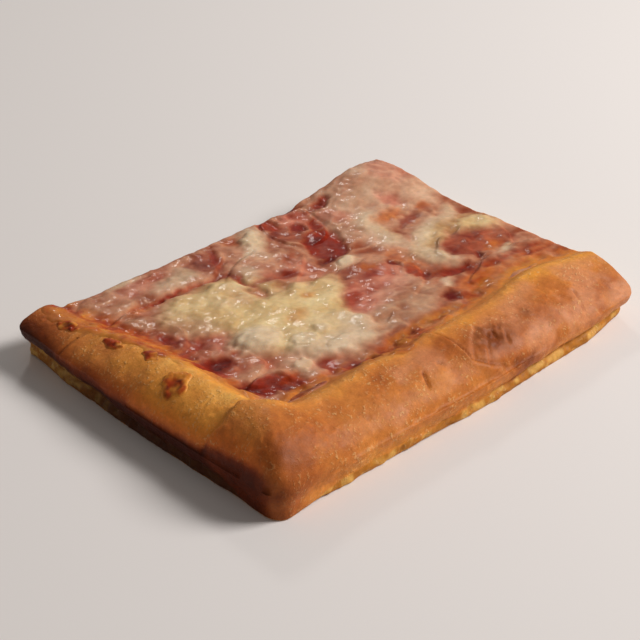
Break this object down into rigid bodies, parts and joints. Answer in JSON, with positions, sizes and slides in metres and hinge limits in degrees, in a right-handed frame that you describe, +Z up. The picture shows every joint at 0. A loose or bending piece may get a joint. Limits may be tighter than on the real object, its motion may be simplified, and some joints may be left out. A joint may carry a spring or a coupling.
{
  "type": "sicilian pizza slice",
  "caption": "Corner slice of thick Sicilian pizza with a puffed browned crust on two sides, tomato sauce, ham and melted cheese baked on top.",
  "frame": {"origin": "on the flat underside, below the middle of the slice's bounding box", "axes": "+X along the long crust side, +Y from that side to the long cut side, +Z up"},
  "size_m": [0.1696, 0.1304, 0.023],
  "materials": {
    "baked_crust": "matte, browned",
    "tomato_sauce": "moist",
    "ham": "moist",
    "mozzarella": "oily sheen",
    "baked_crisp": "browned"
  },
  "bodies": {
    "root": {"dough": "baked_crust", "tomato_sauce": "tomato_sauce", "ham_slice_1": "ham", "ham_slice_2": "ham", "ham_slice_3": "ham", "ham_slice_4": "ham", "ham_slice_5": "ham", "ham_slice_6": "ham", "ham_slice_7": "ham", "ham_slice_8": "ham", "ham_slice_9": "ham", "ham_slice_10": "ham", "ham_slice_11": "ham", "melted_cheese_1": "mozzarella", "melted_cheese_2": "mozzarella", "baked_crisp_1": "baked_crisp", "baked_crisp_2": "baked_crisp", "baked_crisp_3": "baked_crisp", "baked_crisp_4": "baked_crisp"}
  },
  "joints": []
}
